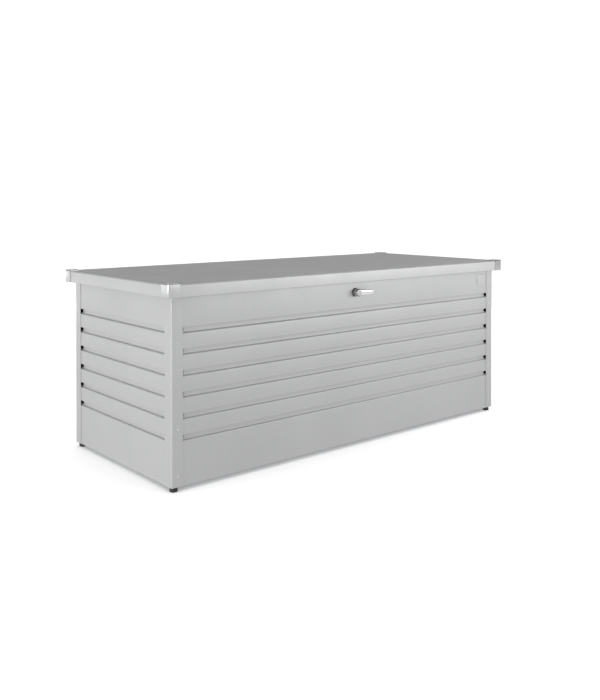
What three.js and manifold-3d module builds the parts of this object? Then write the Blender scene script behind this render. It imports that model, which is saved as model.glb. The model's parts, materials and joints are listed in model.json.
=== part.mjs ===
// Deck storage box: sheet-metal chest on four levelling feet, with a hinged
// lid, two gas springs and a quarter-turn lever lock.
// Millimetres, +Z up. +X is to the right of someone facing the box, -Y is the
// front. The origin is on the ground, under the middle of the box.
import * as THREE from 'three';
import { mergeVertices } from 'three/addons/utils/BufferGeometryUtils.js';
import Module from 'manifold-3d';

// ---------------------------------------------------------------- dimensions
const LID_W = 1810, LID_D = 790, TOP_Z = 710;      // over the lid's corner caps
const BODY_W = 1750, BODY_D = 730, BODY_Z0 = 18;   // over the corner posts
const GAP = 0.3;                                   // between touching pieces
const BX = BODY_W / 2, BY = BODY_D / 2, LX = LID_W / 2, LY = LID_D / 2;

const POST_T = 1.2, POST_LEG_X = 45, POST_LEG_Y = 45, POST_R = 6;
const WALL_T = 1.0, FACE = POST_T + GAP;           // wall face sits behind the post legs
const WALL_TOP = 695, HEM_W = 9.5, HEM_DROP = 8;
const GROOVES = [0, 1, 2, 3, 4, 5].map((k) => 172.2 + 73.1 * k);  // lower edge of each groove
const GROOVE_H = 19, GROOVE_D = 9, DRAFT = 0.8;
const NOTCH_X = 7.5, NOTCH_Y = 6;                                   // groove ends stand open past the post edge
const WALL_END_X = 861.2, WALL_END_Y = 351.2;      // walls stop short inside the posts

const RAIL_T = 1.0, RAIL_Z0 = 662, RAIL_TOP = 705, RAIL_FLANGE = 40, RAIL_LIP = 6;
const CAP_T = 1.5, CAP_LEG = 46, CAP_R = 5, CAP_TOP_T = 3.4;
const PANEL_T = 1.0, PANEL_Z = RAIL_TOP + GAP, FIELD_X = 857, FIELD_Y = 347, FIELD_TOP = 709.5;

const BASE_T = 2.0, BASE_H = 30, BASE_FLANGE = 30, FLOOR_T = 1.0, FLOOR_Z = 48.3, FLOOR_LIP = 10;
const BEARER_X = [-434, 0, 434], BEARER_T = 1.5;

const FOOT_X = 855, FOOT_Y = 344, FOOT_R = 14, STUD_R = 5, STUD_TOP = 41;
const SOCKET_Z = 18.3, SOCKET_T = 3;

const HINGE_Y = 381, HINGE_Z = 670, HINGE_XS = [-600, 0, 600];
const KNUCKLE_R = 5.5, PIN_R = 2.5, BORE_R = 3.0, HINGE_L = 90;

const LOCK_X = -20, LOCK_Z = 619, HUB_R = 15.5, SPINDLE_R = 5, SLEEVE_R = 8;
const LEVER_END = 77, LEVER_FRONT = -393.2, LEVER_BACK = -381.5;

const STAY_X = 845, STAY_CRANK = 250, STAY_SPREAD = 72, STAY_UP_DROP = 15, LID_OPEN = 80;
const TUBE_R = 10, ROD_R = 4, STUD_PIN_R = 4, BRACKET_X = 861.5;

// ---------------------------------------------------------------- materials
const paint = (color, roughness, metalness) =>
  new THREE.MeshStandardMaterial({ color, roughness, metalness });
const SILVER = () => paint(0xc4c5c6, 0.42, 0.55);
const SILVER_TOP = () => paint(0x9a9b9c, 0.45, 0.5);
const CAP_SILVER = () => paint(0xc9cacb, 0.5, 0.3);
const GALV = () => paint(0xaeb2b5, 0.45, 0.8);
const CHROME = () => paint(0xe6e8ea, 0.12, 1.0);
const DARK = () => paint(0x55585b, 0.5, 0.4);
const BLACK = () => paint(0x17181a, 0.7, 0.0);
const RUBBER = () => paint(0x222326, 0.85, 0.0);
const TUBE_BLACK = () => paint(0x1d1e20, 0.35, 0.3);
const STEEL = () => paint(0xc2c5c8, 0.25, 0.95);
const BADGE = () => paint(0xdadbdc, 0.35, 0.6);

// ---------------------------------------------------------------- helpers
const wasm = await Module();
wasm.setup();

// merge shared corners, drop collapsed triangles, face everything outward
const clean = (g) => {
  const c = g.clone();
  c.deleteAttribute('normal');
  c.deleteAttribute('uv');
  const m = mergeVertices(c, 1e-4);
  const p = m.attributes.position, idx = m.index.array, keep = [];
  let vol = 0;
  const a = new THREE.Vector3(), b = new THREE.Vector3(), d = new THREE.Vector3();
  for (let i = 0; i < idx.length; i += 3) {
    const [u, v, w] = [idx[i], idx[i + 1], idx[i + 2]];
    if (u === v || v === w || u === w) continue;
    keep.push(u, v, w);
    a.fromBufferAttribute(p, u); b.fromBufferAttribute(p, v); d.fromBufferAttribute(p, w);
    vol += a.dot(b.clone().cross(d));
  }
  if (vol < 0) for (let i = 0; i < keep.length; i += 3) [keep[i], keep[i + 1]] = [keep[i + 1], keep[i]];
  m.setIndex(keep);
  m.computeVertexNormals();
  return m;
};
const solid = (g) => {
  const m = clean(g);
  return new wasm.Manifold(new wasm.Mesh({
    numProp: 3,
    vertProperties: new Float32Array(m.attributes.position.array),
    triVerts: new Uint32Array(m.index.array),
  }));
};
const skin = (s) => {
  const m = s.getMesh();
  const g = new THREE.BufferGeometry();
  g.setAttribute('position', new THREE.BufferAttribute(new Float32Array(m.vertProperties), 3));
  g.setIndex(new THREE.BufferAttribute(new Uint32Array(m.triVerts), 1));
  g.computeVertexNormals();
  return g;
};
const join = (...gs) => skin(gs.slice(1).reduce((s, g) => s.add(solid(g)), solid(gs[0])));
const cut = (g, ...tools) => skin(tools.reduce((s, t) => s.subtract(solid(t)), solid(g)));

const span = (x0, x1, y0, y1, z0, z1) =>
  new THREE.BoxGeometry(x1 - x0, y1 - y0, z1 - z0)
    .translate((x0 + x1) / 2, (y0 + y1) / 2, (z0 + z1) / 2);
const shape = (pts) => new THREE.Shape(pts.map(([a, b]) => new THREE.Vector2(a, b)));
const extrude = (pts, depth) =>
  new THREE.ExtrudeGeometry(shape(pts), { depth, bevelEnabled: false, steps: 1 });
// outline in (x, y), running from z0 to z1
const alongZ = (pts, z0, z1) => extrude(pts, z1 - z0).translate(0, 0, z0);
// outline in (y, z), running from x0 to x1
const alongX = (pts, x0, x1) => extrude(pts, x1 - x0)
  .applyMatrix4(new THREE.Matrix4().set(0, 0, 1, x0, 1, 0, 0, 0, 0, 1, 0, 0, 0, 0, 0, 1));
// outline in (x, z), running from y0 to y1
const alongY = (pts, y0, y1) => extrude(pts, y1 - y0)
  .applyMatrix4(new THREE.Matrix4().set(1, 0, 0, 0, 0, 0, -1, y1, 0, 1, 0, 0, 0, 0, 0, 1));
const arc = (cx, cy, r, a0, a1, n) => Array.from({ length: n + 1 }, (_, i) => {
  const a = THREE.MathUtils.degToRad(a0 + (a1 - a0) * i / n);
  return [cx + r * Math.cos(a), cy + r * Math.sin(a)];
});
const rod = (r, len, seg = 24) => new THREE.CylinderGeometry(r, r, len, seg);
const rodX = (r, x0, x1, y, z, seg = 24) =>
  rod(r, x1 - x0, seg).rotateZ(Math.PI / 2).translate((x0 + x1) / 2, y, z);
const rodY = (r, y0, y1, x, z, seg = 24) => rod(r, y1 - y0, seg).translate(x, (y0 + y1) / 2, z);
const rodZ = (r, z0, z1, x, y, seg = 24) =>
  rod(r, z1 - z0, seg).rotateX(Math.PI / 2).translate(x, y, (z0 + z1) / 2);

// sheet of thickness t along an open line; the material lies to the left of
// the line when travelling along it (negative t puts it to the right)
const strip = (line, t) => {
  const off = line.map((p, i) => {
    const q0 = line[Math.max(i - 1, 0)], q1 = line[Math.min(i + 1, line.length - 1)];
    const unit = (u, v) => { const l = Math.hypot(v[0] - u[0], v[1] - u[1]); return [(v[0] - u[0]) / l, (v[1] - u[1]) / l]; };
    const d0 = i === 0 ? unit(p, q1) : unit(q0, p), d1 = i === line.length - 1 ? d0 : unit(p, q1);
    const n0 = [-d0[1], d0[0]], n1 = [-d1[1], d1[0]];
    const k = 1 + n0[0] * n1[0] + n0[1] * n1[1];
    return [p[0] + t * (n0[0] + n1[0]) / k, p[1] + t * (n0[1] + n1[1]) / k];
  });
  return [...line, ...off.reverse()];
};
// stack of outlines with equal corner counts, capped at both ends
const loft = (rings) => {
  const pos = [], idx = [], n = rings[0].length;
  rings.forEach((r) => r.forEach((p) => pos.push(...p)));
  for (let k = 0; k < rings.length - 1; k++) for (let i = 0; i < n; i++) {
    const a = k * n + i, b = k * n + (i + 1) % n, c = a + n, d = b + n;
    idx.push(a, b, d, a, d, c);
  }
  const capAt = (k, flip) => {
    for (let i = 1; i < n - 1; i++) flip ? idx.push(k * n, k * n + i + 1, k * n + i) : idx.push(k * n, k * n + i, k * n + i + 1);
  };
  capAt(0, true);
  capAt(rings.length - 1, false);
  const g = new THREE.BufferGeometry();
  g.setAttribute('position', new THREE.Float32BufferAttribute(pos, 3));
  g.setIndex(idx);
  return g;
};
const rect = (hx, hy, z, cx = 0, cy = 0) =>
  [[cx - hx, cy - hy, z], [cx + hx, cy - hy, z], [cx + hx, cy + hy, z], [cx - hx, cy + hy, z]];

// rectangle with cut corners
const tray = (hx, hy, c, z) => [[-hx + c, -hy, z], [hx - c, -hy, z], [hx, -hy + c, z], [hx, hy - c, z],
  [hx - c, hy, z], [-hx + c, hy, z], [-hx, hy - c, z], [-hx, -hy + c, z]];

const box = new THREE.Group();
const add = (name, geometry, material, parent = box) => {
  const mesh = new THREE.Mesh(clean(geometry), material);
  mesh.name = name;
  parent.add(mesh);
  return mesh;
};

// ---------------------------------------------------------------- body walls
// depth of the wall skin behind its face, going up from the bottom edge
const wallLine = [[0, BODY_Z0]];
for (const z of GROOVES)
  wallLine.push([0, z], [GROOVE_D, z + DRAFT], [GROOVE_D - 1, z + GROOVE_H - DRAFT], [0, z + GROOVE_H]);
wallLine.push([0, WALL_TOP], [HEM_W, WALL_TOP], [HEM_W, WALL_TOP - HEM_DROP]);
// across: half span to the wall's face; the sheet thickness lies inside it
const wallOutline = (face) => strip(wallLine.map(([d, z]) => [-(face - d), z]), -WALL_T);

const frontFace = BY - FACE, sideFace = BX - FACE;
// the back of each groove is notched away behind the post legs
const notched = (wall, face, edge, end, notch) => cut(wall, ...GROOVES.flatMap((z) => [-1, 1].map((s) => {
  const [a, b] = s < 0 ? [-end - 2, -edge + notch] : [edge - notch, end + 2];
  return span(a, b, -face + 4, -face + GROOVE_D + 4, z + 1.6, z + GROOVE_H - 1.6);
})));
const longWall = () =>
  notched(alongX(wallOutline(frontFace), -WALL_END_X, WALL_END_X), frontFace, BX - POST_LEG_X, WALL_END_X, NOTCH_X);
const shortWall = () =>
  notched(alongX(wallOutline(sideFace), -WALL_END_Y, WALL_END_Y), sideFace, BY - POST_LEG_Y, WALL_END_Y, NOTCH_Y);
add('front_wall', cut(longWall(), rodY(SLEEVE_R + 0.5, -frontFace - 5, -frontFace + 5, LOCK_X, LOCK_Z, 24)), SILVER());
const rear = add('rear_wall', longWall(), SILVER());
rear.rotation.z = Math.PI;
const left = add('left_wall', shortWall(), SILVER());
left.rotation.z = -Math.PI / 2;
const right = add('right_wall', shortWall(), SILVER());
right.rotation.z = Math.PI / 2;

// corner posts: folded angles that cover the wall ends
const postOutline = (sx, sy) => {
  const cx = BX - POST_R, cy = BY - POST_R;
  const pts = [
    [BX - POST_LEG_X, BY], ...arc(cx, cy, POST_R, 90, 0, 5), [BX, BY - POST_LEG_Y],
    [BX - POST_T, BY - POST_LEG_Y], ...arc(cx, cy, POST_R - POST_T, 0, 90, 5), [BX - POST_LEG_X, BY - POST_T],
  ];
  return pts.map(([x, y]) => [sx * x, sy * y]);
};
const CORNERS = [['front_left', -1, -1], ['front_right', 1, -1], ['rear_left', -1, 1], ['rear_right', 1, 1]];
for (const [name, sx, sy] of CORNERS)
  add(`corner_post_${name}`, alongZ(postOutline(sx, sy), BODY_Z0, WALL_TOP), SILVER());

// ---------------------------------------------------------------- base frame
const baseTop = FLOOR_Z - GAP, wallInX = sideFace - WALL_T - GAP, wallInY = frontFace - WALL_T - GAP;
const baseOutline = (face) => strip([[-face, BODY_Z0 + GAP], [-face, baseTop], [-face + BASE_FLANGE, baseTop]], -BASE_T);
add('base_rail_front', alongX(baseOutline(wallInY), -WALL_END_X, WALL_END_X), GALV());
add('base_rail_rear', alongX(baseOutline(wallInY), -WALL_END_X, WALL_END_X), GALV()).rotation.z = Math.PI;
const baseSide = wallInY - BASE_FLANGE - GAP;
add('base_rail_left', alongX(baseOutline(wallInX), -baseSide, baseSide), GALV()).rotation.z = -Math.PI / 2;
add('base_rail_right', alongX(baseOutline(wallInX), -baseSide, baseSide), GALV()).rotation.z = Math.PI / 2;

BEARER_X.forEach((x, i) => {
  const hat = strip([[-32, baseTop], [-18, baseTop], [-12, baseTop - 22], [12, baseTop - 22], [18, baseTop], [32, baseTop]]
    .map(([u, z]) => [x + u, z]), -BEARER_T);
  add(`floor_bearer_${['left', 'centre', 'right'][i]}`, alongY(hat, -baseSide, baseSide), GALV());
});

// two floor trays that butt over the centre bearer, turned up at the walls
const floorX = wallInX - 1, floorY = wallInY - 1;
const floorTray = (s) => {
  const x0 = Math.min(s * 0.4, s * floorX), x1 = Math.max(s * 0.4, s * floorX);
  const i0 = s < 0 ? x0 + FLOOR_T : x0 - 5, i1 = s < 0 ? x1 + 5 : x1 - FLOOR_T;
  return cut(span(x0, x1, -floorY, floorY, FLOOR_Z, FLOOR_Z + FLOOR_LIP),
    span(i0, i1, -floorY + FLOOR_T, floorY - FLOOR_T, FLOOR_Z + FLOOR_T, FLOOR_Z + FLOOR_LIP + 5));
};
add('floor_panel_left', floorTray(-1), GALV());
add('floor_panel_right', floorTray(1), GALV());

// ---------------------------------------------------------------- feet
const footOutline = [[0, 0], [FOOT_R - 1.5, 0], [FOOT_R, 1.5], [FOOT_R, 12], [FOOT_R - 2.5, BODY_Z0],
  [STUD_R, BODY_Z0], [STUD_R, STUD_TOP - 1], [STUD_R - 1, STUD_TOP], [0, STUD_TOP]];
for (const [name, sx, sy] of CORNERS) {
  const x = sx * FOOT_X, y = sy * FOOT_Y;
  const pick = (a, b) => [Math.min(a, b), Math.max(a, b)];
  const [px0, px1] = pick(sx * 834, sx * 869.6), [py0, py1] = pick(sy * 323, sy * 359.6);
  const [ty0, ty1] = pick(sy * 357.4, sy * 359.6), [tx0, tx1] = pick(sx * 836, sx * 860);
  add(`foot_socket_${name}`, cut(join(
    span(px0, px1, py0, py1, SOCKET_Z, SOCKET_Z + SOCKET_T),
    rodZ(10, SOCKET_Z + 1, SOCKET_Z + 15, x, y, 24),
    span(tx0, tx1, ty0, ty1, SOCKET_Z + 1, SOCKET_Z + 22)),
    rodZ(STUD_R + 0.5, SOCKET_Z - 5, SOCKET_Z + 25, x, y, 24)), GALV());
  const foot = add(`foot_${name}`,
    new THREE.LatheGeometry(footOutline.map(([r, z]) => new THREE.Vector2(r, z)), 28).rotateX(Math.PI / 2), BLACK());
  foot.position.set(x, y, 0);
}

// ---------------------------------------------------------------- rim seal
const sealOut = [BX - FACE - WALL_T, BY - FACE - WALL_T], SEAL_W = 7;
const sealZ0 = WALL_TOP + GAP, sealZ1 = RAIL_TOP - RAIL_T - GAP;
add('rim_seal', cut(
  loft([rect(sealOut[0], sealOut[1], sealZ0), rect(sealOut[0], sealOut[1], sealZ0 + 5), rect(sealOut[0] - 2, sealOut[1] - 2, sealZ1)]),
  loft([rect(sealOut[0] - SEAL_W, sealOut[1] - SEAL_W, sealZ0 - 5), rect(sealOut[0] - SEAL_W, sealOut[1] - SEAL_W, sealZ0 + 5), rect(sealOut[0] - SEAL_W + 2, sealOut[1] - SEAL_W + 2, sealZ1), rect(sealOut[0] - SEAL_W + 2, sealOut[1] - SEAL_W + 2, sealZ1 + 5)])),
  RUBBER());

// ---------------------------------------------------------------- lid
const lid = new THREE.Group();
box.add(lid);
const railX = LX - CAP_T - GAP, railY = LY - CAP_T - GAP;
const railOutline = (face) => strip([[-face + RAIL_LIP, RAIL_Z0], [-face, RAIL_Z0], [-face, RAIL_TOP], [-face + RAIL_FLANGE, RAIL_TOP]], -RAIL_T);
const railEndX = railX - CAP_R + 1, railEndY = railY - RAIL_FLANGE - GAP;
add('lid_rail_front', alongX(railOutline(railY), -railEndX, railEndX), SILVER(), lid);
add('lid_rail_rear', alongX(railOutline(railY), -railEndX, railEndX), SILVER(), lid).rotation.z = Math.PI;
add('lid_rail_left', alongX(railOutline(railX), -railEndY, railEndY), SILVER(), lid).rotation.z = -Math.PI / 2;
add('lid_rail_right', alongX(railOutline(railX), -railEndY, railEndY), SILVER(), lid).rotation.z = Math.PI / 2;

// top sheet with a shallow raised field
const panelBorderTop = PANEL_Z + PANEL_T;
const underField = FIELD_TOP - PANEL_T - GAP, underBorder = PANEL_Z - GAP;
add('lid_panel', loft([
  tray(FIELD_X - 6, FIELD_Y - 6, 3, FIELD_TOP - PANEL_T), tray(FIELD_X, FIELD_Y, 5, PANEL_Z),
  tray(railX - 0.2, railY - 0.2, CAP_R - 1, PANEL_Z), tray(railX - 0.2, railY - 0.2, CAP_R - 1, panelBorderTop),
  tray(FIELD_X + 0.5, FIELD_Y + 0.5, 5, panelBorderTop), tray(FIELD_X - 5.5, FIELD_Y - 5.5, 3, FIELD_TOP),
]), SILVER_TOP(), lid);

// moulded corner caps over the ends of the rails
for (const [name, sx, sy] of CORNERS) {
  const outline = (o, r, leg) => [[LX - leg, LY - leg], [LX - leg, LY - o], ...arc(LX - o - r, LY - o - r, r, 90, 0, 5), [LX - o, LY - leg]];
  const flip = (pts) => pts.map(([x, y]) => [sx * x, sy * y]);
  const legs = alongZ(flip([
    [LX - CAP_LEG, LY], ...arc(LX - CAP_R, LY - CAP_R, CAP_R, 90, 0, 5), [LX, LY - CAP_LEG],
    [LX - CAP_T, LY - CAP_LEG], ...arc(LX - CAP_R, LY - CAP_R, CAP_R - CAP_T, 0, 90, 5), [LX - CAP_LEG, LY - CAP_T],
  ]), RAIL_Z0 - 0.5, TOP_Z);
  const top = alongZ(flip(outline(0, CAP_R, CAP_LEG)), TOP_Z - CAP_TOP_T, TOP_Z);
  add(`lid_cap_${name}`, join(legs, top), CAP_SILVER(), lid);
}

// hat-section stiffeners under the top sheet
[-300, 300].forEach((x, i) => {
  const z = underField;
  const hat = strip([[-38, z], [-22, z], [-15, z - 14], [15, z - 14], [22, z], [38, z]].map(([u, w]) => [x + u, w]), -1.2);
  add(`lid_stiffener_${['left', 'right'][i]}`, alongY(hat, -(FIELD_Y - 8), FIELD_Y - 8), GALV(), lid);
});

// ---------------------------------------------------------------- hinges
const plateY = frontFace + GAP;
HINGE_XS.forEach((x, i) => {
  const name = ['left', 'centre', 'right'][i], h = HINGE_L / 2, mid = 15;
  const bore = rodX(BORE_R, x - h - 5, x + h + 5, HINGE_Y, HINGE_Z, 16);
  const outer = (a, b) => join(
    rodX(KNUCKLE_R, a, b, HINGE_Y, HINGE_Z, 20),
    span(a, b, plateY, HINGE_Y, HINGE_Z - 2.5, HINGE_Z));
  add(`hinge_leaf_body_${name}`, cut(join(
    span(x - h, x + h, plateY, plateY + 2.5, 604, HINGE_Z),
    outer(x - h, x - mid), outer(x + mid, x + h)), bore), STEEL());
  const back = railY - RAIL_T - GAP;
  add(`hinge_leaf_lid_${name}`, cut(join(
    span(x - h, x + h, back - 2.5, back, RAIL_Z0 + 4, RAIL_TOP - RAIL_T - GAP),
    rodX(KNUCKLE_R, x - mid + GAP, x + mid - GAP, HINGE_Y, HINGE_Z, 20),
    span(x - mid + GAP, x + mid - GAP, HINGE_Y, back - 1, HINGE_Z, HINGE_Z + 2.5)), bore), STEEL(), lid);
  add(`hinge_pin_${name}`, rodX(PIN_R, x - h - 2, x + h + 2, HINGE_Y, HINGE_Z, 16), STEEL());
});

// ---------------------------------------------------------------- lock and handle
// rosette with a threaded sleeve through the wall
const wallFront = -frontFace;
const lockAxis = (pts, seg) => new THREE.LatheGeometry(pts.map(([r, y]) => new THREE.Vector2(r, y)), seg).translate(LOCK_X, 0, LOCK_Z);
add('lock_rosette', lockAxis([
  [SPINDLE_R + 0.5, wallFront - 5], [SPINDLE_R + 0.5, -351], [SLEEVE_R, -351], [SLEEVE_R, wallFront - GAP],
  [17.5, wallFront - GAP], [17.5, wallFront - 2.5], [16.6, wallFront - 4.2], [14.5, wallFront - 5], [SPINDLE_R + 0.5, wallFront - 5],
], 32), DARK());

// lever handle: round hub, lever to the right, spindle to the inside
const hub = lockAxis([
  [0, -340], [3.5, -340], [3.5, -345.3], [SPINDLE_R, -345.3], [SPINDLE_R, wallFront - 5.4],
  [HUB_R - 1, wallFront - 5.4], [HUB_R, wallFront - 6.4], [HUB_R, -387], [HUB_R - 2, -390.4], [HUB_R - 5.5, -392], [0, -392],
], 32);
const leverOutline = [[0, -10.5], [LEVER_END - 15, -9.4], ...arc(LEVER_END - 9, 0, 9, -75, 75, 8), [LEVER_END - 15, 9.4], [0, 10.5]]
  .map(([x, z]) => [x + LOCK_X, z + LOCK_Z]);
add('handle', cut(join(hub, alongY(leverOutline, LEVER_FRONT, LEVER_BACK)),
  rodY(6.4, -400, -374, LOCK_X, LOCK_Z, 24)), CHROME());
add('lock_core', cut(rodY(6.0, -393.6, -374.4, LOCK_X, LOCK_Z, 24), span(LOCK_X - 0.9, LOCK_X + 0.9, -400, -386, LOCK_Z - 4.2, LOCK_Z + 4.2)), STEEL());
// cam: points up while the handle is level, swings right when the lever drops
add('lock_cam', cut(alongY([...arc(LOCK_X, LOCK_Z, 8.5, 180, 360, 10), [LOCK_X + 8.5, LOCK_Z + 28], ...arc(LOCK_X, LOCK_Z + 28, 8.5, 0, 180, 8)], -345, -342),
  rodY(3.9, -350, -335, LOCK_X, LOCK_Z, 16)), STEEL());
// keeper: hangs from the lid; its lip ends up under the turned cam
add('lock_keeper', alongX(strip([[-320, underField], [-340, underField], [-344.6, underBorder], [-349, underBorder], [-349, LOCK_Z - 12.5], [-337, LOCK_Z - 12.5]], 2), LOCK_X + 16, LOCK_X + 44), STEEL(), lid);

// ---------------------------------------------------------------- badge
add('badge_plate', loft([
  rect(25, 22.5, 0, 0, 0), rect(25, 22.5, 1.0, 0, 0), rect(24, 21.5, 1.6, 0, 0),
]).rotateX(Math.PI / 2).translate(788, wallFront - GAP, 621.5), BADGE());

// ---------------------------------------------------------------- gas springs
// Both spring pivots lie at the same distance from the lid's hinge line, so
// the spring turns by exactly half the lid's angle and stays in line.
const up = { y: HINGE_Y - Math.sqrt(STAY_CRANK ** 2 - STAY_UP_DROP ** 2), z: HINGE_Z - STAY_UP_DROP };
const a0 = Math.atan2(up.z - HINGE_Z, up.y - HINGE_Y) + THREE.MathUtils.degToRad(STAY_SPREAD) + 2 * Math.PI;
const low = { y: HINGE_Y + STAY_CRANK * Math.cos(a0), z: HINGE_Z + STAY_CRANK * Math.sin(a0) };
const L0 = Math.hypot(up.y - low.y, up.z - low.z);
const tilt = Math.atan2(up.z - low.z, up.y - low.y) - Math.PI / 2;   // spring axis from +Z, about +X
const mouth = L0 - 30, cavity0 = 26, guide = 12, rodLen = L0 - cavity0 - 1.5;
const lathe = (pts, seg) => new THREE.LatheGeometry(pts.map(([r, z]) => new THREE.Vector2(r, z)), seg).rotateX(Math.PI / 2);
for (const [name, s] of [['left', -1], ['right', 1]]) {
  const tube = cut(join(
    lathe([[0, 6], [6, 6], [6, 16], [TUBE_R - 1, 17], [TUBE_R, 19], [TUBE_R, mouth - 2], [TUBE_R - 2, mouth],
      [ROD_R + 0.6, mouth], [ROD_R + 0.6, mouth - guide], [8.2, mouth - guide], [8.2, cavity0], [0, cavity0]], 20),
    rodX(9, -6, 6, 0, 0, 20)), rodX(STUD_PIN_R + 0.5, -10, 10, 0, 0, 16));
  const cyl = add(`gas_spring_cylinder_${name}`, tube, TUBE_BLACK());
  cyl.position.set(s * STAY_X, low.y, low.z);
  cyl.rotation.x = tilt;
  const shaft = cut(join(
    lathe([[0, -rodLen], [7.4, -rodLen], [7.4, -rodLen + 8], [ROD_R, -rodLen + 8], [ROD_R, -16], [6, -15], [6, -6], [0, -6]], 20),
    rodX(9, -6, 6, 0, 0, 20)), rodX(STUD_PIN_R + 0.5, -10, 10, 0, 0, 16));
  const piston = add(`gas_spring_rod_${name}`, shaft, STEEL(), lid);
  piston.position.set(s * STAY_X, up.y, up.z);
  piston.rotation.x = tilt;
  const side = (a, b) => [Math.min(s * a, s * b), Math.max(s * a, s * b)];
  const wallBracket = join(
    alongX([[low.y - 22, low.z - 46], [low.y + 22, low.z - 46], [low.y + 22, low.z + 46], [low.y - 22, low.z + 46]], ...side(BRACKET_X - 2, BRACKET_X)),
    rodX(STUD_PIN_R, ...side(836, BRACKET_X - 1), low.y, low.z, 16),
    rodX(7, ...side(852.5, BRACKET_X - 1), low.y, low.z, 16));
  add(`gas_spring_bracket_lower_${name}`, wallBracket, STEEL());
  const top = strip([[828, underField], [849, underField], [853.6, underBorder], [860, underBorder], [860, underBorder - 12]]
    .map(([x, z]) => [s * x, z]), s > 0 ? -2 : 2);
  const lidBracket = join(
    alongY(top, up.y - 26, up.y + 26),
    alongX([[up.y - 26, underBorder - 4], [up.y + 26, underBorder - 4], [up.y + 11, up.z - 11], [up.y - 11, up.z - 11]], ...side(858, 860)),
    rodX(STUD_PIN_R, ...side(836, 859), up.y, up.z, 16),
    rodX(7, ...side(852.5, 859), up.y, up.z, 16));
  add(`gas_spring_bracket_upper_${name}`, lidBracket, STEEL(), lid);
}

export default box;
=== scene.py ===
# Deck storage box: the looks. Everything is in metres in the CAD's frame.
# Sizes below are written in millimetres and scaled when a mesh is made.
import math, json
import bpy, bmesh
from mathutils import Vector, Matrix, Quaternion


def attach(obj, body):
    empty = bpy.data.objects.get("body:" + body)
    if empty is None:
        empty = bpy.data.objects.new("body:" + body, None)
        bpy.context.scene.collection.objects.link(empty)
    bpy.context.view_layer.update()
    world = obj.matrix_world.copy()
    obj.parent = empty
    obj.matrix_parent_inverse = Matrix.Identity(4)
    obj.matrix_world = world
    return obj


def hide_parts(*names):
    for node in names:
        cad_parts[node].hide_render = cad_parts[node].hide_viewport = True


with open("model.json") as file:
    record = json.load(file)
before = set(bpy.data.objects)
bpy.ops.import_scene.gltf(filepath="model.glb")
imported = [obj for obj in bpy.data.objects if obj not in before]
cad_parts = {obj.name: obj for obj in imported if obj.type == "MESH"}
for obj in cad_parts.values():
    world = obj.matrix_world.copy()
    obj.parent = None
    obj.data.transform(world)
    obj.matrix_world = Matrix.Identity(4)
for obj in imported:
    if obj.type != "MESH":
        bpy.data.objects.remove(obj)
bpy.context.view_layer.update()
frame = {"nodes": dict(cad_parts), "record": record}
NODE_BODY = {n: b for b, ns in frame["record"]["behaviour"]["bodies"].items() for n in ns}
NODE_SLOT = {s["node"]: s["material_slot"] for s in frame["record"]["subparts"]}
MM = 0.001
COL = bpy.context.scene.collection

# ------------------------------------------------------------------ camera
# fitted to the corners of the box: azimuth 40.26 deg to the left, 0.88 deg up
AZ, EL, ROLL = math.radians(40.26), math.radians(0.88), 0.0
DIST, FOC, TX, TZ, PPY = 3.6041, 827.6, -0.0022, 0.9245, 215.0
back = Vector((-math.sin(AZ) * math.cos(EL), -math.cos(AZ) * math.cos(EL), math.sin(EL)))
cam_data = bpy.data.cameras.new("camera")
cam = bpy.data.objects.new("camera", cam_data)
COL.objects.link(cam)
cam_data.sensor_width = 36.0
cam_data.lens = FOC / 700.0 * 36.0
cam_data.shift_x = 0.0
cam_data.shift_y = -(350.0 - PPY) / 700.0
cam_data.clip_start, cam_data.clip_end = 0.05, 200
cam.location = Vector((TX, 0, TZ)) + back * DIST
cam.rotation_mode = "QUATERNION"
cam.rotation_quaternion = (-back).to_track_quat("-Z", "Y") @ Quaternion((0, 0, 1), ROLL)
bpy.context.scene.camera = cam

# ------------------------------------------------------------------ materials
def mat(name, color, rough, metal=0.0, coat=0.0, coat_rough=0.1, spec=0.5, aniso=0.0, build=None):
    m = bpy.data.materials.new(name)
    m.use_nodes = True
    nt = m.node_tree
    bsdf = nt.nodes["Principled BSDF"]
    bsdf.inputs["Base Color"].default_value = (*color, 1)
    bsdf.inputs["Roughness"].default_value = rough
    bsdf.inputs["Metallic"].default_value = metal
    bsdf.inputs["Coat Weight"].default_value = coat
    bsdf.inputs["Coat Roughness"].default_value = coat_rough
    bsdf.inputs["Specular IOR Level"].default_value = spec
    bsdf.inputs["Anisotropic"].default_value = aniso
    tc = nt.nodes.new("ShaderNodeTexCoord")
    build(nt, bsdf, tc.outputs["Object"], color, rough)
    return m

def node(nt, kind, **kw):
    n = nt.nodes.new(kind)
    for k, v in kw.items():
        setattr(n, k, v)
    return n

def noise(nt, vec, scale, detail=2.0, rough=0.5, stretch=None):
    if stretch:
        mp = node(nt, "ShaderNodeMapping")
        mp.inputs["Scale"].default_value = stretch
        nt.links.new(vec, mp.inputs["Vector"])
        vec = mp.outputs["Vector"]
    n = node(nt, "ShaderNodeTexNoise")
    n.inputs["Scale"].default_value = scale
    n.inputs["Detail"].default_value = detail
    n.inputs["Roughness"].default_value = rough
    nt.links.new(vec, n.inputs["Vector"])
    return n.outputs["Fac"]

def remap(nt, value, lo, hi, a=0.3, b=0.7):
    r = node(nt, "ShaderNodeMapRange")
    r.inputs["From Min"].default_value = a
    r.inputs["From Max"].default_value = b
    r.inputs["To Min"].default_value = lo
    r.inputs["To Max"].default_value = hi
    nt.links.new(value, r.inputs["Value"])
    return r.outputs["Result"]

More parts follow.
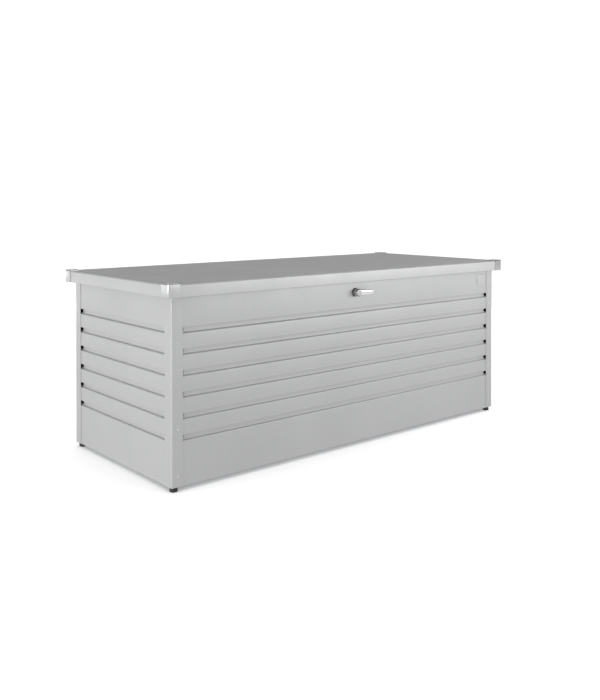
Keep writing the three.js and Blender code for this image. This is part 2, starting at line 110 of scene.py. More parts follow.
def shade(nt, bsdf, color, factors):
    """base colour times each factor in turn"""
    out = None
    for f in factors:
        mix = node(nt, "ShaderNodeMix", data_type="RGBA", blend_type="MULTIPLY")
        mix.inputs["Factor"].default_value = 1.0
        if out is None:
            mix.inputs["A"].default_value = (*color, 1)
        else:
            nt.links.new(out, mix.inputs["A"])
        nt.links.new(f, mix.inputs["B"])
        out = mix.outputs["Result"]
    nt.links.new(out, bsdf.inputs["Base Color"])

def bump(nt, bsdf, height, strength, dist, prev=None):
    b = node(nt, "ShaderNodeBump")
    b.inputs["Strength"].default_value = strength
    b.inputs["Distance"].default_value = dist
    nt.links.new(height, b.inputs["Height"])
    if prev is not None:
        nt.links.new(prev, b.inputs["Normal"])
    nt.links.new(b.outputs["Normal"], bsdf.inputs["Normal"])
    return b.outputs["Normal"]

def paint_nodes(flake=0.05, cloud=0.025, peel=0.12, rvar=0.05):
    def build(nt, bsdf, vec, color, rough):
        big = remap(nt, noise(nt, vec, 2.6, 3), 1 - cloud, 1 + cloud)
        vor = node(nt, "ShaderNodeTexVoronoi")
        vor.inputs["Scale"].default_value = 1400.0
        nt.links.new(vec, vor.inputs["Vector"])
        sep = node(nt, "ShaderNodeSeparateColor")
        nt.links.new(vor.outputs["Color"], sep.inputs["Color"])
        fl = remap(nt, sep.outputs["Red"], 1 - flake, 1 + flake, 0.0, 1.0)
        shade(nt, bsdf, color, [big, fl])
        nt.links.new(remap(nt, noise(nt, vec, 9.0, 4), rough - rvar, rough + rvar), bsdf.inputs["Roughness"])
        n1 = bump(nt, bsdf, noise(nt, vec, 420.0, 2), peel, 0.00012)
        bump(nt, bsdf, noise(nt, vec, 5.0, 1), 0.25, 0.0006, n1)
    return build

def galv_nodes(nt, bsdf, vec, color, rough):
    vor = node(nt, "ShaderNodeTexVoronoi")
    vor.inputs["Scale"].default_value = 95.0
    nt.links.new(vec, vor.inputs["Vector"])
    sep = node(nt, "ShaderNodeSeparateColor")
    nt.links.new(vor.outputs["Color"], sep.inputs["Color"])
    spangle = remap(nt, sep.outputs["Red"], 0.84, 1.14, 0, 1)
    soft = remap(nt, noise(nt, vec, 14, 4), 0.92, 1.06)
    shade(nt, bsdf, color, [spangle, soft])
    nt.links.new(remap(nt, sep.outputs["Green"], rough - 0.09, rough + 0.1, 0, 1), bsdf.inputs["Roughness"])
    bump(nt, bsdf, noise(nt, vec, 260, 3), 0.12, 0.0002)

def brushed_nodes(stretch, amount=0.08):
    def build(nt, bsdf, vec, color, rough):
        line = noise(nt, vec, 60, 4, 0.6, stretch)
        shade(nt, bsdf, color, [remap(nt, line, 1 - amount, 1 + amount), remap(nt, noise(nt, vec, 20, 3), 0.95, 1.04)])
        nt.links.new(remap(nt, line, rough - 0.06, rough + 0.08), bsdf.inputs["Roughness"])
        bump(nt, bsdf, line, 0.08, 0.0001)
    return build

def chrome_nodes(nt, bsdf, vec, color, rough):
    shade(nt, bsdf, color, [remap(nt, noise(nt, vec, 40, 3), 0.96, 1.02)])
    nt.links.new(remap(nt, noise(nt, vec, 90, 4), rough - 0.02, rough + 0.05), bsdf.inputs["Roughness"])
    bump(nt, bsdf, noise(nt, vec, 120, 2), 0.03, 0.0003)

def plastic_nodes(grain=900.0, depth=0.25, var=0.05):
    def build(nt, bsdf, vec, color, rough):
        shade(nt, bsdf, color, [remap(nt, noise(nt, vec, 25, 3), 1 - var, 1 + var)])
        nt.links.new(remap(nt, noise(nt, vec, 60, 3), rough - 0.06, rough + 0.06), bsdf.inputs["Roughness"])
        bump(nt, bsdf, noise(nt, vec, grain, 3), depth, 0.0002)
    return build

M = {
    "wall_paint": mat("wall_paint", (0.42, 0.422, 0.426), 0.50, 0.25, 0.25, 0.28, build=paint_nodes()),
    "rail_paint": mat("rail_paint", (0.45, 0.452, 0.456), 0.50, 0.28, 0.12, 0.3, build=paint_nodes()),
    "lid_paint": mat("lid_paint", (0.51, 0.512, 0.516), 0.50, 0.35, 0.1, 0.3, build=paint_nodes(0.06, 0.03)),
    "cap_plastic": mat("cap_plastic", (0.53, 0.532, 0.536), 0.26, 0.95, 0.1, 0.2, build=paint_nodes(0.04, 0.02, 0.2)),
    "galvanised": mat("galvanised", (0.40, 0.412, 0.425), 0.46, 0.75, build=galv_nodes),
    "bright_steel": mat("bright_steel", (0.40, 0.406, 0.412), 0.44, 0.90, build=brushed_nodes((1, 6, 6))),
    "rod_steel": mat("rod_steel", (0.70, 0.71, 0.72), 0.12, 1.0, build=brushed_nodes((1, 1, 1), 0.04)),
    "spring_tube": mat("spring_tube", (0.018, 0.018, 0.020), 0.34, 0.0, 0.5, 0.15, build=plastic_nodes(500, 0.1)),
    "handle_chrome": mat("handle_chrome", (0.86, 0.865, 0.87), 0.09, 1.0, build=chrome_nodes),
    "lock_core_metal": mat("lock_core_metal", (0.55, 0.55, 0.56), 0.24, 1.0, build=brushed_nodes((8, 1, 1))),
    "rosette_dark": mat("rosette_dark", (0.07, 0.072, 0.076), 0.38, 0.5, build=paint_nodes(0.03, 0.03, 0.1)),
    "badge_metal": mat("badge_metal", (0.50, 0.503, 0.508), 0.34, 0.4, 0.2, build=brushed_nodes((0.5, 1, 12), 0.05)),
    "seal_rubber": mat("seal_rubber", (0.022, 0.022, 0.024), 0.72, 0.0, spec=0.35, build=plastic_nodes(700, 0.35)),
    "foot_plastic": mat("foot_plastic", (0.012, 0.012, 0.013), 0.55, 0.0, build=plastic_nodes(800, 0.3)),
}
# post screws carry the wall's paint; their base colour, lighter than wall_paint, is a painted highlight for bright
# spots on the screw heads
M["screw_paint_painted_highlight"] = mat("screw_paint_painted_highlight", (0.56, 0.562, 0.566), 0.34, 0.4, 0.2, 0.2, build=paint_nodes(0.03, 0.01, 0.1))
M["screw_steel"] = mat("screw_steel", (0.72, 0.725, 0.73), 0.24, 0.9, build=brushed_nodes((1, 1, 1), 0.05))
M["hub_zinc"] = mat("hub_zinc", (0.42, 0.422, 0.426), 0.36, 0.85, build=chrome_nodes)
# painted shade: near-black for the sheets set behind the open groove ends, where the inside of the box is in shade
M["painted_shade_black"] = mat("painted_shade_black", (0.006, 0.006, 0.006), 0.9, 0.0, spec=0.1, build=plastic_nodes(300, 0.1))

# ------------------------------------------------------------------ mesh tools
def finish_mesh(name, me, material, body, nodes=(), angle=32, bevel=None, merge=True):
    bm = bmesh.new()
    bm.from_mesh(me)
    if merge:
        bmesh.ops.remove_doubles(bm, verts=bm.verts, dist=2e-6)
    bmesh.ops.recalc_face_normals(bm, faces=bm.faces)
    bm.to_mesh(me)
    bm.free()
    for p in me.polygons:
        p.use_smooth = True
    me.set_sharp_from_angle(angle=math.radians(angle))
    me.materials.clear()
    me.materials.append(M[material])
    ob = bpy.data.objects.new(name, me)
    COL.objects.link(ob)
    if bevel:
        bv = ob.modifiers.new("edges", "BEVEL")
        bv.width = bevel * MM
        bv.segments = 2
        bv.limit_method = "ANGLE"
        bv.angle_limit = math.radians(40)
        bv.harden_normals = True
    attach(ob, body)
    if nodes:
        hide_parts(*nodes)
    return ob

def make(name, verts, faces, material, body, nodes=(), matrix=None, **kw):
    me = bpy.data.meshes.new(name)
    vs = [Vector(v) * MM for v in verts]
    if matrix is not None:
        vs = [matrix @ v for v in vs]
    me.from_pydata([tuple(v) for v in vs], [], faces)
    return finish_mesh(name, me, material, body, nodes, **kw)

def fillet(line, radii, seg=5, closed=False):
    out = []
    n = len(line)
    for i, p in enumerate(line):
        r = radii[i] if isinstance(radii, (list, tuple)) else radii
        if (not closed and i in (0, n - 1)) or r <= 0:
            out.append(tuple(p))
            continue
        a, b = Vector(line[i - 1]), Vector(line[(i + 1) % n])
        p = Vector(p)
        u, v = (a - p).normalized(), (b - p).normalized()
        ang = u.angle(v)
        if ang > math.pi - 1e-3:
            out.append(tuple(p))
            continue
        t = min(r / math.tan(ang / 2), 0.48 * (a - p).length, 0.48 * (b - p).length)
        rr = t * math.tan(ang / 2)
        c = p + (u + v).normalized() * (rr / math.sin(ang / 2))
        s, e = p + u * t - c, p + v * t - c
        tot = s.angle_signed(e)
        for k in range(seg + 1):
            w = s.copy()
            w.rotate(Matrix.Rotation(-tot * k / seg, 2))
            out.append(tuple(c + w))
    return out

def offset(line, t):
    """open line moved sideways by t to its left"""
    out = []
    for i, p in enumerate(line):
        q0, q1 = line[max(i - 1, 0)], line[min(i + 1, len(line) - 1)]
        def unit(u, v):
            d = Vector(v) - Vector(u)
            return d.normalized()
        d0 = unit(p, q1) if i == 0 else unit(q0, p)
        d1 = d0 if i == len(line) - 1 else unit(p, q1)
        n0, n1 = Vector((-d0.y, d0.x)), Vector((-d1.y, d1.x))
        k = max(1 + n0.dot(n1), 0.3)
        out.append(tuple(Vector(p) + (n0 + n1) * (t / k)))
    return out

def inset(poly, d):
    """closed counter-clockwise outline moved inward by d"""
    n, out = len(poly), []
    for i, p in enumerate(poly):
        d0 = (Vector(p) - Vector(poly[i - 1])).normalized()
        d1 = (Vector(poly[(i + 1) % n]) - Vector(p)).normalized()
        n0, n1 = Vector((-d0.y, d0.x)), Vector((-d1.y, d1.x))
        k = max(1 + n0.dot(n1), 0.3)
        out.append(tuple(Vector(p) + (n0 + n1) * (d / k)))
    return out

def sheet_run(line, t, put, a, b):
    """folded sheet: line is its outer face, t its thickness to the left, run from a to b"""
    inner = offset(line, t)
    n = len(line)
    verts = [put(p, a) for p in line] + [put(p, a) for p in inner] + [put(p, b) for p in line] + [put(p, b) for p in inner]
    f = []
    for i in range(n - 1):
        o, q = i, n + i
        O, Q = 2 * n + i, 3 * n + i
        f += [(o, o + 1, O + 1, O), (q + 1, q, Q, Q + 1), (o + 1, o, q, q + 1), (O, O + 1, Q + 1, Q)]
    f += [(0, 2 * n, 3 * n, n), (n - 1, 2 * n - 1, 4 * n - 1, 3 * n - 1)]
    return verts, f

def loft(rings, cap0=True, cap1=True, ring_closed=True):
    n = len(rings[0])
    verts = [v for r in rings for v in r]
    f = []
    for k in range(len(rings) - 1):
        for i in range(n if ring_closed else n - 1):
            a, b = k * n + i, k * n + (i + 1) % n
            f.append((a, b, b + n, a + n))
    if cap0:
        f.append(tuple(range(n - 1, -1, -1)))
    if cap1:
        f.append(tuple((len(rings) - 1) * n + i for i in range(n)))
    return verts, f

def lathe(profile, put, seg=48):
    """profile of (radius, height); put(x, y, h) places a point"""
    rings = [[put(r * math.cos(2 * math.pi * k / seg), r * math.sin(2 * math.pi * k / seg), h) for k in range(seg)] for r, h in profile]
    return loft(rings, profile[0][0] > 0, profile[-1][0] > 0)

def merge_parts(*parts):
    verts, faces = [], []
    for v, f in parts:
        k = len(verts)
        verts += v
        faces += [tuple(i + k for i in q) for q in f]
    return verts, faces

def arc(cx, cy, r, a0, a1, n):
    return [(cx + r * math.cos(math.radians(a0 + (a1 - a0) * i / n)), cy + r * math.sin(math.radians(a0 + (a1 - a0) * i / n))) for i in range(n + 1)]

def round_rect(hx, hy, r, n=6, cx=0.0, cy=0.0):
    return [(cx + x, cy + y) for x, y in arc(hx - r, hy - r, r, 0, 90, n) + arc(-hx + r, hy - r, r, 90, 180, n) + arc(-hx + r, -hy + r, r, 180, 270, n) + arc(hx - r, -hy + r, r, 270, 360, n)]

def refine(nodename, bevel=0.4, angle=32, material=None):
    """a clean copy of a CAD node: flat triangles merged, edges eased"""
    src = frame["nodes"][nodename]
    me = src.data.copy()
    me.name = nodename + "_fine"
    bm = bmesh.new()
    bm.from_mesh(me)
    bmesh.ops.remove_doubles(bm, verts=bm.verts, dist=1e-5)
    bmesh.ops.dissolve_limit(bm, angle_limit=math.radians(2), verts=bm.verts, edges=bm.edges)
    bm.to_mesh(me)
    bm.free()
    for a in [x.name for x in me.attributes if x.name == "custom_normal"]:
        me.attributes.remove(me.attributes[a])
    return finish_mesh(nodename + "_fine", me, material or NODE_SLOT[nodename], NODE_BODY[nodename], [nodename], angle=angle, bevel=bevel)

ROT = lambda deg: Matrix.Rotation(math.radians(deg), 4, "Z")
CORNERS = [("front_left", -1, -1), ("front_right", 1, -1), ("rear_left", -1, 1), ("rear_right", 1, 1)]

# ------------------------------------------------------------------ walls
FACE_Y, FACE_X = 363.5, 873.5
GROOVES = [172.2 + 73.1 * k for k in range(6)]
SEG = 5
def wall_line(face):
    """outer face of the folded sheet, and the cells of it that are groove backs"""
    pts, rad, backs = [(0, 18)], [0], []
    n = 1
    for z in GROOVES:
        pts += [(0, z), (9, z + 0.8), (8, z + 18.2), (0, z + 19)]
        rad += [4.6, 4.0, 1.6, 1.6]
        backs.append(n + 2 * (SEG + 1) - 1)
        n += 4 * (SEG + 1)
    pts += [(0, 695), (9.5, 695), (9.5, 687)]
    rad += [2.2, 1.6, 0]
    return fillet([(-(face - d), z) for d, z in pts], rad, SEG), backs

def sheet_grid(line, t, put, stations, holes):
    """folded sheet in strips between stations; holes is a set of (strip, cell) left out"""
    inner = offset(line, t)
    n, m = len(line), len(stations)
    verts = [put(p, a) for a in stations for p in line] + [put(p, a) for a in stations for p in inner]
    base, f, edges = n * m, [], {}
    for j in range(m - 1):
        for i in range(n - 1):
            if (j, i) in holes:
                continue
            q = [j * n + i, j * n + i + 1, (j + 1) * n + i + 1, (j + 1) * n + i]
            f.append(tuple(q))
            f.append(tuple(base + v for v in reversed(q)))
            for a, b in zip(q, q[1:] + q[:1]):
                edges[(a, b)] = edges.get((a, b), 0) + 1
    for a, b in edges:
        if (b, a) not in edges:
            f.append((b, a, base + a, base + b))
    return verts, f

def groove_wall(name, face, edge, end, notch, node_name, turn):
    line, backs = wall_line(face)
    holes = {(j, i) for j in (0, 2) for i in backs}
    v, f = sheet_grid(line, -1.0, lambda p, s: (s, p[0], p[1]), [-end, -edge + notch, edge - notch, end], holes)
    make(name, v, f, "wall_paint", "root", [node_name], matrix=ROT(turn) if turn else None, bevel=0.25)
put_x = lambda p, s: (s, p[0], p[1])
groove_wall("front_wall_sheet", FACE_Y, 830, 861.2, 7.5, "front_wall", 0)
groove_wall("rear_wall_sheet", FACE_Y, 830, 861.2, 7.5, "rear_wall", 180)
groove_wall("left_wall_sheet", FACE_X, 320, 351.2, 6, "left_wall", -90)
groove_wall("right_wall_sheet", FACE_X, 320, 351.2, 6, "right_wall", 90)

# black sheets behind the open ends of the grooves, painted shade: they stand in for the dark inside of the box seen
# through the openings
for name, sx, sy in CORNERS:
    side = [(sx * 862.2, sy * 306), (sx * 862.2, sy * 348), (sx * 863.2, sy * 348), (sx * 863.2, sy * 306)]
    long = [(sx * 812, sy * 352.2), (sx * 857, sy * 352.2), (sx * 857, sy * 353.2), (sx * 812, sy * 353.2)]
    parts = []
    for poly in (side, long):
        area2 = sum(poly[i - 1][0] * p[1] - p[0] * poly[i - 1][1] for i, p in enumerate(poly))
        poly = poly if area2 > 0 else poly[::-1]
        parts += [loft([[(x, y, z) for x, y in poly] for z in (g - 1.5, g + 20.5)]) for g in GROOVES]
    v, f = merge_parts(*parts)
    make(f"groove_end_painted_shade_{name}", v, f, "painted_shade_black", "root", bevel=0.1)

# corner posts
for name, sx, sy in CORNERS:
    line = fillet([(830, 365), (875, 365), (875, 320)], [0, 6.0, 0], 12)
    line = [(sx * x, sy * y) for x, y in line]
    side = -1.2 if sx * sy > 0 else 1.2
    v, f = sheet_run(line, side, lambda p, s: (p[0], p[1], s), 18, 695)
    make(f"post_{name}_sheet", v, f, "wall_paint", "root", [f"corner_post_{name}"], bevel=0.35)

# ------------------------------------------------------------------ lid rails, caps, panel
def rail_line(face):
    return fillet([(-face + 6, 662), (-face, 662), (-face, 705), (-face + 40, 705)], [0, 1.8, 2.4, 0], 6)
v, f = sheet_run(rail_line(393.2), -1.0, put_x, -899.2, 899.2)
make("lid_rail_front_sheet", v, f, "rail_paint", "lid", ["lid_rail_front"], bevel=0.3)
make("lid_rail_rear_sheet", v, f, "rail_paint", "lid", ["lid_rail_rear"], matrix=ROT(180), bevel=0.3)
v, f = sheet_run(rail_line(903.2), -1.0, put_x, -352.9, 352.9)
make("lid_rail_left_sheet", v, f, "rail_paint", "lid", ["lid_rail_left"], matrix=ROT(-90), bevel=0.3)
make("lid_rail_right_sheet", v, f, "rail_paint", "lid", ["lid_rail_right"], matrix=ROT(90), bevel=0.3)

def ccw(poly):
    area = sum(poly[i - 1][0] * p[1] - p[0] * poly[i - 1][1] for i, p in enumerate(poly))
    return poly if area > 0 else poly[::-1]
for name, sx, sy in CORNERS:
    legs = [(859, 395)] + arc(900, 390, 5, 90, 0, 10) + [(905, 349), (903.5, 349)] + arc(900, 390, 3.5, 0, 90, 10) + [(859, 393.5)]
    plate = [(859, 349), (859, 395)] + arc(900, 390, 5, 90, 0, 10) + [(905, 349)]
    legs = ccw([(sx * x, sy * y) for x, y in legs])
    plate = ccw([(sx * x, sy * y) for x, y in plate])
    a = loft([[(x, y, z) for x, y in inset(legs, d)] for z, d in [(661.5, 0.4), (661.7, 0.12), (662.1, 0), (708.0, 0)]])
    rings = [(706.6, 0.0)] + [(708.2 + 1.8 * math.sin(math.radians(t)), 1.8 * (1 - math.cos(math.radians(t)))) for t in (0, 22.5, 45, 67.5, 90)]
    b = loft([[(x, y, z) for x, y in inset(plate, d)] for z, d in rings])
    v, f = merge_parts(a, b)
    make(f"lid_cap_{name}_moulding", v, f, "cap_plastic", "lid", [f"lid_cap_{name}"], merge=False, angle=40)

prof = fillet([(0, 706.3), (45.5, 706.3), (51.5, 709.5), (80, 709.5)], [0, 4, 4, 0], 5)
top = [(902.9, 392.9, 4.0, 705.45), (903.0, 393.0, 4.0, 705.6), (903.0, 393.0, 4.0, 706.05), (902.75, 392.75, 4.0, 706.3)]
rings = []
def ring(ix, z):
    r = max(4.0 - ix * 0.02, 3.0) + (0 if ix < 44 else 2.5)
    return [(x, y, z) for x, y in round_rect(903 - ix, 393 - ix, r, 6)]
rings = [ring(48, 708.2), ring(44, 705.3), ring(0.15, 705.3), ring(0, 705.45), ring(0, 706.15), ring(0.2, 706.3)]
rings += [ring(max(ix, 0.3), z) for ix, z in prof]
rings[0] = ring(80, 708.5)
rings.insert(1, ring(52, 708.5))
v, f = loft(rings)
make("lid_panel_sheet", v, f, "lid_paint", "lid", ["lid_panel"], angle=25)

# ------------------------------------------------------------------ screws
def cross(th, w, l):
    c, s = abs(math.cos(th)), abs(math.sin(th))
    big, small = max(c, s), min(c, s)
    return min(l / big, max(w / max(small, 1e-4), w * 1.15)) if small * l > w * big else l / big

def head(at, normal, r=4.4, h=2.2, spin=0.0, recess=True, n=40):
    """one screw or rivet head, in millimetres; 'at' is on the face that it sits on"""
    prof = [(1.0, 0.0), (1.0, 0.16), (0.97, 0.41), (0.86, 0.68), (0.68, 0.89), (0.5, 1.0)]
    rings = [[(r * a * math.cos(2 * math.pi * k / n), r * a * math.sin(2 * math.pi * k / n), h * z) for k in range(n)] for a, z in prof]
    if recess:
        for sc, z in [(1.0, h), (0.86, h * 0.5)]:
            rings.append([(cross(2 * math.pi * k / n, r * 0.095 * sc, r * 0.44 * sc) * math.cos(2 * math.pi * k / n),
                           cross(2 * math.pi * k / n, r * 0.095 * sc, r * 0.44 * sc) * math.sin(2 * math.pi * k / n), z) for k in range(n)])
    v, f = loft(rings)
    m = Matrix.Translation(Vector(at)) @ Vector(normal).to_track_quat("Z", "Y").to_matrix().to_4x4() @ Matrix.Rotation(spin, 4, "Z")
    return [tuple(m @ Vector(p)) for p in v], f

def heads(name, places, normal, body, r=4.4, h=2.2, recess=True, material="screw_steel"):
    v, f = merge_parts(*[head(p, normal, r, h, 0.7 * i + 0.3, recess) for i, p in enumerate(places)])
    return make(name, v, f, material, body, angle=35)

for name, sx, sy in CORNERS:
    heads(f"post_screws_{name}", [(sx * 849, sy * 365.0, z) for z in (507, 360, 213, 55.5)], (0, sy, 0), "root", 4.4, 2.0, True, "screw_paint_painted_highlight")
    heads(f"post_side_rivets_{name}", [(sx * 872.5, sy * 338, z) for z in (590, 430, 285, 120)], (-sx, 0, 0), "root", 3.2, 1.3, False, "galvanised")
for i, x in enumerate((-600, 0, 600)):
    side = ("left", "centre", "right")[i]
    heads(f"hinge_screws_{side}", [(x + dx, 366.3, z) for dx in (-32, 0, 32) for z in (615, 645)], (0, 1, 0), "root", 4.2, 1.9)
    heads(f"hinge_rail_rivets_{side}", [(x + dx, 393.2, 689) for dx in (-32, 32)], (0, 1, 0), "lid", 3.6, 1.4, False)
    heads(f"hinge_inner_rivets_{side}", [(x + dx, 389.4, 689) for dx in (-32, 32)], (0, -1, 0), "lid", 3.6, 1.4, False)
for side, s in (("left", -1), ("right", 1)):
    heads(f"bracket_screws_{side}", [(s * 859.5, 318.15 + dy, 428.03 + dz) for dy in (-14, 14) for dz in (-36, 36)], (-s, 0, 0), "root", 4.0, 2.0)
    heads(f"bracket_lid_screws_{side}", [(s * 838.5, 131.45 + dy, 706.1) for dy in (-16, 16)], (0, 0, -1), "lid", 3.8, 1.8)
heads("floor_rivets", [(x, y, 49.3) for y in (-318, 318) for x in (-780, -600, -434, -220, -30, 30, 220, 434, 600, 780)], (0, 0, 1), "root", 3.6, 1.2, False, "galvanised")
heads("floor_side_rivets", [(x, y, 49.3) for x in (-826, 826) for y in (-160, 0, 160)], (0, 0, 1), "root", 3.6, 1.2, False, "galvanised")

# ------------------------------------------------------------------ lock and handle
LKX, LKZ = -20.0, 619.0
yput = lambda x, z, h: (LKX + x, h, LKZ + z)
v, f = lathe([(5.5, -368.3), (5.5, -351), (8, -351), (8, -363.7), (17.5, -363.8), (17.5, -365.4), (17.1, -366.6), (16.3, -367.6), (15.2, -368.3), (14.0, -368.5), (5.5, -368.5)], yput, 72)
make("lock_rosette_disc", v, f, "rosette_dark", "root", ["lock_rosette"], merge=True)

v, f = lathe([(0, -340), (3.1, -340), (3.5, -340.4), (3.5, -345.3), (5, -345.3), (5, -368.9), (14.3, -368.9), (15.1, -369.3), (15.5, -370.1), (15.5, -385.6),
             (15.2, -388.0), (14.3, -389.9), (12.8, -391.2), (10.8, -391.9), (8.2, -392.1), (7.0, -391.9), (6.5, -391.4), (6.4, -390.6), (6.4, -374.2), (0, -374.2)], yput, 72)
make("lever_handle_hub", v, f, "hub_zinc", "handle", ["handle"], merge=True, angle=40)

rings = []
X0, X1, ROUND = 7.5, 77.0, 10.0
for s in range(33):
    x = X0 + (X1 - X0) * (s / 32 if s < 20 else 20 / 32 + (12 / 32) * math.sin(math.pi / 2 * (s - 20) / 12))
    e = min(max(0.0, (x - (X1 - ROUND)) / ROUND), 1.0)
    cap = math.sqrt(max(0.0, 1 - e * e))
    hz = (10.6 - 1.6 * (x / X1)) * max(cap, 0.04)
    hy = 5.1 * max(0.35 + 0.65 * cap, 0.2)
    pts = []
    for q in range(48):
        th = 2 * math.pi * q / 48
        c, sn = math.cos(th), math.sin(th)
        p = 2 / 3.0
        pts.append((LKX + x, -388.05 + hy * math.copysign(abs(c) ** p, c), LKZ + hz * math.copysign(abs(sn) ** p, sn)))
    rings.append(pts)
v, f = loft(rings)
make("lever_handle_arm", v, f, "handle_chrome", "handle", ["handle"], merge=False, angle=50)

# lock core with its keyway
n = 48
def slot_ring(y, sc=1.0):
    out = []
    for q in range(n):
        th = 2 * math.pi * q / n
        c, s = math.cos(th), math.sin(th)
        hw, hh = 0.85 * sc, 3.9 * sc
        t = min(hw / max(abs(c), 1e-4), hh / max(abs(s), 1e-4))
        out.append((LKX + t * c, y, LKZ + t * s))
    return out
def circ(r, y):
    return [(LKX + r * math.cos(2 * math.pi * q / n), y, LKZ + r * math.sin(2 * math.pi * q / n)) for q in range(n)]
v, f = loft([circ(5.9, -374.6), circ(5.9, -392.6), circ(5.6, -393.2), circ(5.2, -393.5), circ(4.6, -393.6), slot_ring(-393.6, 1.12), slot_ring(-393.2), slot_ring(-387.0)])
make("lock_core_barrel", v, f, "lock_core_metal", "lock_core", ["lock_core"], angle=35)

# hex nut on the sleeve, inside
hexo = [(14.5 * math.cos(math.radians(60 * q)), 14.5 * math.sin(math.radians(60 * q))) for q in range(6)]
hex48 = []
for q in range(48):
    a = 2 * math.pi * q / 48
    m6 = (a + math.pi / 6) % (math.pi / 3) - math.pi / 6
    rr = 14.5 * math.cos(math.pi / 6) / math.cos(((a - math.pi / 6) + math.pi / 6) % (math.pi / 3) - math.pi / 6)
    hex48.append((rr * math.cos(a), rr * math.sin(a)))
def sc_ring(pts, s, y):
    return [(LKX + x * s, y, LKZ + z * s) for x, z in pts]
rc = circ
v, f = loft([rc(8.3, -355.8), rc(11.5, -355.8), sc_ring(hex48, 0.985, -356.4), sc_ring(hex48, 1, -357.0), sc_ring(hex48, 1, -361.2), sc_ring(hex48, 0.985, -361.8), rc(11.5, -362.2), rc(8.3, -362.2), rc(8.3, -355.8)], False, False)
make("lock_nut", v, f, "bright_steel", "root", angle=30)

# badge: blank plate with a raised rim
def badge_ring(i, y, r):
    return [(788 + x, y, 621.5 + z) for x, z in round_rect(25 - i, 22.5 - i, r, 6)]
v, f = loft([badge_ring(0, -363.8, 3.5), badge_ring(0, -364.9, 3.5), badge_ring(0.3, -365.25, 3.2), badge_ring(0.8, -365.4, 2.8), badge_ring(1.8, -365.4, 2.2), badge_ring(2.3, -365.1, 2.0), badge_ring(2.6, -364.8, 1.9)])
make("badge_blank_plate", v, f, "badge_metal", "root", ["badge_plate"], angle=30)

# ------------------------------------------------------------------ feet
for name, sx, sy in CORNERS:
    x, y = sx * 855, sy * 344
    v, f = lathe([(0, 0), (11.6, 0), (12.8, 0.5), (13.6, 1.4), (14.0, 2.6), (14.0, 5.0), (13.5, 5.4), (13.5, 6.2), (14.0, 6.6), (14.0, 11.4), (13.6, 12.6), (12.8, 13.4), (11.6, 14.0), (11.2, 14.8), (11.2, 17.4), (10.6, 18.0),
                  (5.0, 18.0)] + [(4.35 + 0.65 * (q % 2), 19.0 + q) for q in range(21)] + [(4.2, 40.5), (3.6, 41.0), (0, 41.0)],
                 lambda a, b, h, x=x, y=y: (x + a, y + b, h), 40)
    make(f"levelling_foot_{name}", v, f, "foot_plastic", f"foot_{name}", [f"foot_{name}"], angle=35)

# ------------------------------------------------------------------ rim seal
sec = [(0, 0), (7, 0), (7, 2.2)] + arc(3.5, 4.9, 3.4, -35, 215, 16) + [(0, 2.2)]
path = [(x, y) for x, y in round_rect(872.5, 362.5, 4, 6)]
ring_v = []
for a, z in sec:
    ring_v.append([(x, y, 695.3 + z) for x, y in round_rect(872.5 - a, 362.5 - a, max(4 - a, 0.8), 6)])
ring_v.append(ring_v[0])
v, f = loft(ring_v, False, False)
make("rim_seal_bulb", v, f, "seal_rubber", "root", ["rim_seal"], angle=50)

# ------------------------------------------------------------------ gas springs
LOWY, LOWZ, UPY, UPZ = 318.15078, 428.02898, 131.45041, 655.0
L0 = math.hypot(UPY - LOWY, UPZ - LOWZ)
TILT = math.atan2(UPZ - LOWZ, UPY - LOWY) - math.pi / 2
mouth, rod_len = L0 - 30, L0 - 27.5
zput = lambda x, y, h: (x, y, h)
xput = lambda x, y, h: (h, x, y)
eye = lathe([(4.5, -6), (8.3, -6), (8.8, -5.7), (9, -5.2), (9, 5.2), (8.8, 5.7), (8.3, 6), (4.5, 6), (4.5, -6)], xput, 48)
tube = lathe([(0, 8.6), (5.2, 8.6), (5.6, 9.2), (5.6, 15.4), (6.4, 16.0), (8.8, 16.4), (9.6, 17.3), (10, 18.8), (10, 30), (9.75, 30.6), (9.75, 31.6), (10, 32.2),
              (10, mouth - 24), (9.5, mouth - 22.5), (9.35, mouth - 21), (9.5, mouth - 19.5), (10, mouth - 18), (10, mouth - 4.0), (9.8, mouth - 2.4), (9.1, mouth - 1.1), (8.0, mouth - 0.3), (6.8, mouth),
              (4.6, mouth), (4.6, mouth - 12), (8.2, mouth - 12), (8.2, 26), (0, 26)], zput, 48)
shaft = lathe([(0, -rod_len), (7.2, -rod_len), (7.4, -rod_len + 0.3), (7.4, -rod_len + 7.7), (7.2, -rod_len + 8), (4, -rod_len + 8), (4, -19.0), (4.2, -18.6), (4.2, -16.4), (5.4, -15.8), (5.6, -15.2), (5.6, -9.2), (5.2, -8.6), (0, -8.6)], zput, 48)
clip = lathe([(9.0, -1.1), (9.5, -1.0), (9.6, 0), (9.5, 1.0), (9.0, 1.1), (9.0, -1.1)], xput, 48)
for side, s in (("left", -1), ("right", 1)):
    def fix(part, y, z):
        m = Matrix.Translation(Vector((s * 845, y, z))) @ Matrix.Rotation(TILT, 4, "X")
        return [tuple(m @ Vector(p)) for p in part[0]], part[1]
    v, f = merge_parts(fix(tube, LOWY, LOWZ), fix(eye, LOWY, LOWZ))
    make(f"gas_spring_tube_{side}", v, f, "spring_tube", f"gas_spring_cylinder_{side}", [f"gas_spring_cylinder_{side}"], angle=35)
    v, f = merge_parts(fix(shaft, UPY, UPZ), fix(eye, UPY, UPZ))
    make(f"gas_spring_piston_{side}", v, f, "rod_steel", f"gas_spring_rod_{side}", [f"gas_spring_rod_{side}"], angle=35)
    v, f = fix(clip, LOWY, LOWZ)
    make(f"gas_spring_clip_lower_{side}", v, f, "screw_steel", f"gas_spring_cylinder_{side}", angle=50)
    v, f = fix(clip, UPY, UPZ)
    make(f"gas_spring_clip_upper_{side}", v, f, "screw_steel", f"gas_spring_rod_{side}", angle=50)

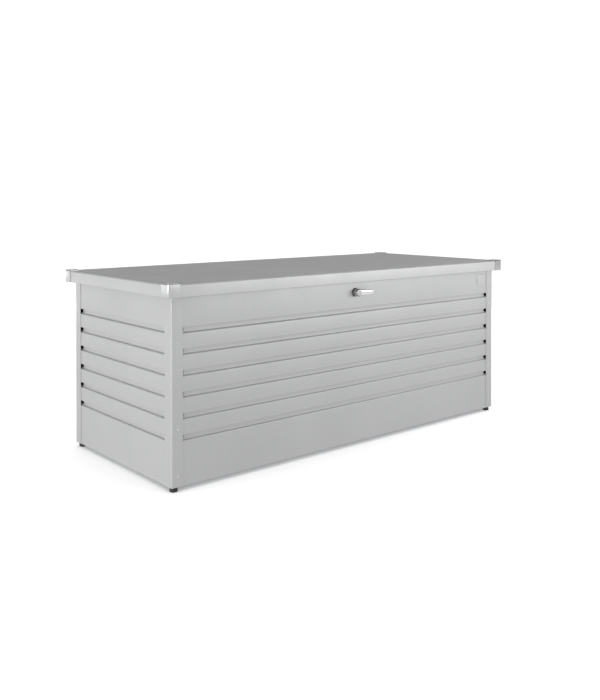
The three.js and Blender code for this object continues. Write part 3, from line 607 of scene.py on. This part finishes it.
# ------------------------------------------------------------------ the rest of the ironwork
for nodename in NODE_SLOT:
    if frame["nodes"][nodename].hide_render:
        continue
    if nodename.startswith(("floor_panel", "base_rail", "floor_bearer", "lid_stiffener")):
        refine(nodename, 0.4, 30)
    elif nodename.startswith("hinge_pin"):
        refine(nodename, 0.6, 40)
    else:
        refine(nodename, 0.45, 32)

# ------------------------------------------------------------------ stage and light
bpy.ops.mesh.primitive_plane_add(size=80, location=(0, 0, 0))
floor = bpy.context.object
floor.name = "floor"
fm = bpy.data.materials.new("floor_pale")
fm.use_nodes = True
fb = fm.node_tree.nodes["Principled BSDF"]
fb.inputs["Base Color"].default_value = (0.86, 0.86, 0.86, 1)
fb.inputs["Roughness"].default_value = 0.9
fb.inputs["Specular IOR Level"].default_value = 0.1
floor.data.materials.append(fm)
floor.visible_diffuse = False
floor.visible_glossy = False

world = bpy.data.worlds.new("studio")
bpy.context.scene.world = world
world.use_nodes = True
wn = world.node_tree
bg = wn.nodes["Background"]
bg.inputs["Color"].default_value = (1, 1, 1, 1)
lp = wn.nodes.new("ShaderNodeLightPath")
mr = wn.nodes.new("ShaderNodeMapRange")
mr.inputs["To Min"].default_value = 0.52
mr.inputs["To Max"].default_value = 1.05
tcw = wn.nodes.new("ShaderNodeTexCoord")
sep = wn.nodes.new("ShaderNodeSeparateXYZ")
wn.links.new(tcw.outputs["Generated"], sep.inputs["Vector"])
updown = wn.nodes.new("ShaderNodeMapRange")
updown.inputs["From Min"].default_value = -0.25
updown.inputs["From Max"].default_value = 0.05
updown.inputs["To Min"].default_value = 0.92
updown.inputs["To Max"].default_value = 0.50
wn.links.new(sep.outputs["Z"], updown.inputs["Value"])
wn.links.new(updown.outputs["Result"], mr.inputs["To Min"])
wn.links.new(lp.outputs["Is Camera Ray"], mr.inputs["Value"])
wn.links.new(mr.outputs["Result"], bg.inputs["Strength"])

def area(name, loc, target, size, size_y, power):
    ld = bpy.data.lights.new(name, "AREA")
    ld.shape = "RECTANGLE"
    ld.size, ld.size_y = size, size_y
    ld.energy = power
    lo = bpy.data.objects.new(name, ld)
    COL.objects.link(lo)
    lo.location = loc
    lo.rotation_mode = "QUATERNION"
    lo.rotation_quaternion = (Vector(target) - Vector(loc)).to_track_quat("-Z", "Y")
    lo.visible_camera = False
    return lo
area("left_softbox", (-4.2, -0.5, 0.55), (-0.9, -0.1, 0.4), 3.2, 1.1, 68)
area("left_rear_strip", (-3.3, 2.9, 0.45), (-0.9, -0.1, 0.5), 1.6, 1.3, 6)
area("corner_fill", (-2.9, -2.2, 0.85), (-0.85, -0.36, 0.62), 1.4, 0.5, 16)
area("front_softbox", (0.95, -1.9, 0.85), (0.15, -0.4, 0.75), 1.9, 0.35, 17.5)
area("right_fill", (4.4, 0.2, 0.75), (0.9, 0, 0.40), 3.2, 1.4, 42)
area("rear_fill", (0.0, 4.8, 0.36), (0, 0.4, 0.34), 4.4, 0.7, 48)

sun = bpy.data.lights.new("floor_light", "SUN")
sun.energy = 2.5
sun.angle = math.radians(120)
so = bpy.data.objects.new("floor_light", sun)
COL.objects.link(so)
fcol = bpy.data.collections.new("floor_only")
fcol.objects.link(floor)
so.light_linking.receiver_collection = fcol
so.light_linking.blocker_collection = fcol

sc = bpy.context.scene
sc.view_settings.view_transform = "Standard"
sc.view_settings.look = "None"
sc.view_settings.exposure = 0.0
sc.view_settings.gamma = 1.0
